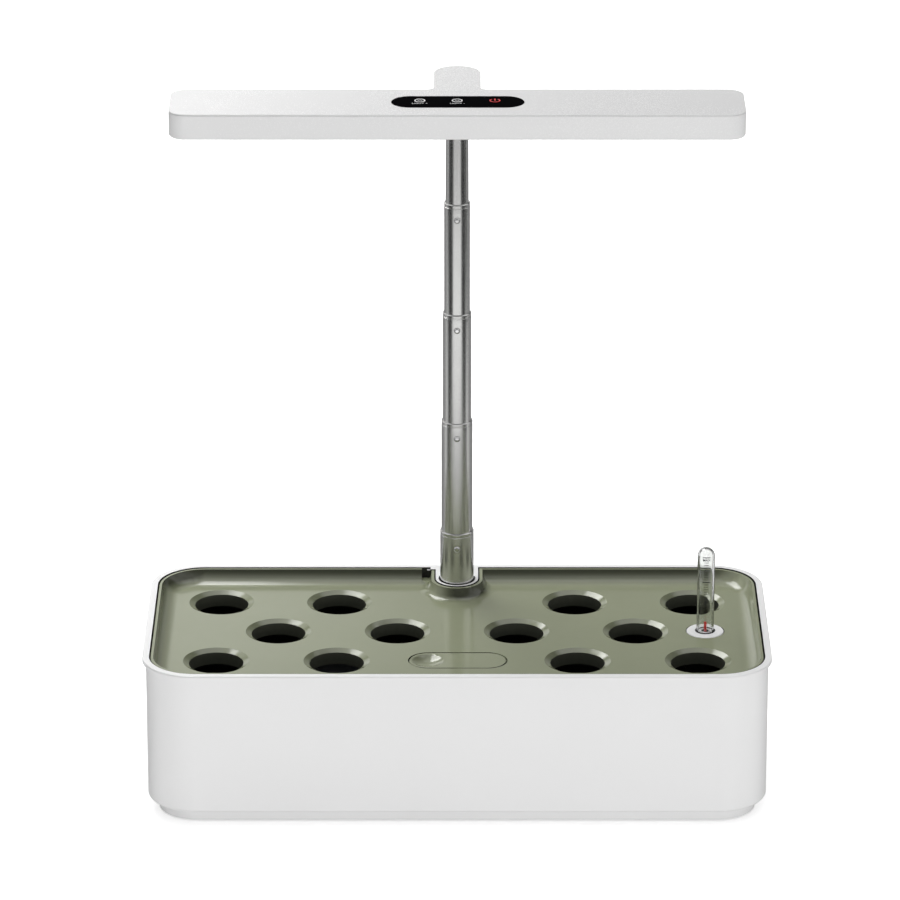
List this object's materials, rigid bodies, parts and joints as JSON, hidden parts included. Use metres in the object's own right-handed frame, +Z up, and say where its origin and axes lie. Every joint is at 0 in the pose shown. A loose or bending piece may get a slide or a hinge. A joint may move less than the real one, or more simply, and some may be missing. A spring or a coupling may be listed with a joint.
{
  "type": "countertop hydroponic garden",
  "caption": "Countertop water garden: white tank, lift-off green deck with funnel-edged plant holes, float gauge, refill flap, and a lamp on a telescopic post.",
  "frame": {"origin": "middle of the footprint, on the table under the feet", "axes": "+X along the tank to the right, +Y to the back where the post stands, +Z up"},
  "size_m": [0.3646, 0.1724, 0.4103],
  "materials": {
    "tank": "smooth moulded plastic",
    "deck": "satin moulded plastic",
    "lid": "satin moulded plastic",
    "rubber": "soft moulded rubber",
    "bush": "moulded liner",
    "post": "brushed along the tube",
    "spring": "polished steel",
    "gauge_white": "smooth moulded plastic",
    "clear": "clear plastic",
    "red": "smooth moulded plastic",
    "float": "foamed plastic",
    "cage": "satin moulded plastic",
    "lamp": "smooth moulded plastic",
    "lens": "translucent plastic",
    "led_plate": "white coated plate",
    "led": "phosphor under clear resin",
    "panel": "black glass with printed signs",
    "board": "circuit board",
    "steel": "plated steel",
    "jack": "black moulded plastic",
    "pump": "black moulded plastic",
    "rotor": "moulded magnet and vanes",
    "shaft": "polished ceramic"
  },
  "bodies": {
    "tank": {"tank_shell": "tank", "rubber_feet": "rubber", "post_bush": "bush", "post_tube_1": "post", "pump_housing": "pump", "pump_nozzle": "pump", "pump_grille": "pump", "pump_shaft": "shaft", "pump_cups": "rubber"},
    "impeller": {"pump_impeller": "rotor"},
    "deck": {"deck_tray": "deck", "gauge_collar": "gauge_white", "gauge_tube": "clear", "float_cage": "cage"},
    "refill_lid": {"refill_lid": "lid"},
    "float": {"float_body": "float", "float_stem": "red"},
    "tube_2": {"post_tube_2": "post"},
    "tube_3": {"post_tube_3": "post"},
    "tube_4": {"post_tube_4": "post"},
    "lamp": {"post_tube_5": "post", "lamp_housing": "lamp", "lamp_cover": "lamp", "touch_panel": "panel", "control_board": "board", "lamp_lens": "lens", "led_board": "led_plate", "led_chips": "led", "lamp_screws": "steel", "dc_inlet": "jack", "inlet_pin": "steel"},
    "button_1": {"snap_spring_1": "spring"},
    "button_2": {"snap_spring_2": "spring"},
    "button_3": {"snap_spring_3": "spring"},
    "button_4": {"snap_spring_4": "spring"}
  },
  "joints": [
    {"name": "deck_lift", "type": "slide", "parent": "tank", "child": "deck", "axis": [0, 0, 1], "range_m": [0, 0.1]},
    {"name": "refill_lid_hinge", "type": "hinge", "parent": "deck", "child": "refill_lid", "pos_m": [-0.009, -0.0447, 0.084], "axis": [0, -1, 0], "range_deg": [0, 55]},
    {"name": "float_travel", "type": "slide", "parent": "deck", "child": "float", "axis": [0, 0, 1], "range_m": [0, 0.036]},
    {"name": "impeller_spin", "type": "hinge", "parent": "tank", "child": "impeller", "pos_m": [-0.062, 0.052, 0.024], "axis": [1, 0, 0], "continuous": true},
    {"name": "tube_2_slide", "type": "slide", "parent": "tank", "child": "tube_2", "axis": [0, 0, 1], "range_m": [-0.05, 0]},
    {"name": "tube_3_slide", "type": "slide", "parent": "tube_2", "child": "tube_3", "axis": [0, 0, 1], "range_m": [-0.05, 0]},
    {"name": "tube_4_slide", "type": "slide", "parent": "tube_3", "child": "tube_4", "axis": [0, 0, 1], "range_m": [-0.05, 0]},
    {"name": "lamp_slide", "type": "slide", "parent": "tube_4", "child": "lamp", "axis": [0, 0, 1], "range_m": [-0.05, 0]},
    {"name": "button_1_press", "type": "slide", "parent": "tube_2", "child": "button_1", "axis": [0, 1, 0], "range_m": [0, 0.0017], "stiffness_N_per_m": 2500, "deforming": ["snap_spring_1"]},
    {"name": "button_2_press", "type": "slide", "parent": "tube_3", "child": "button_2", "axis": [0, 1, 0], "range_m": [0, 0.0017], "stiffness_N_per_m": 2500, "deforming": ["snap_spring_2"]},
    {"name": "button_3_press", "type": "slide", "parent": "tube_4", "child": "button_3", "axis": [0, 1, 0], "range_m": [0, 0.0017], "stiffness_N_per_m": 2500, "deforming": ["snap_spring_3"]},
    {"name": "button_4_press", "type": "slide", "parent": "lamp", "child": "button_4", "axis": [0, 1, 0], "range_m": [0, 0.0017], "stiffness_N_per_m": 2500, "deforming": ["snap_spring_4"]}
  ]
}
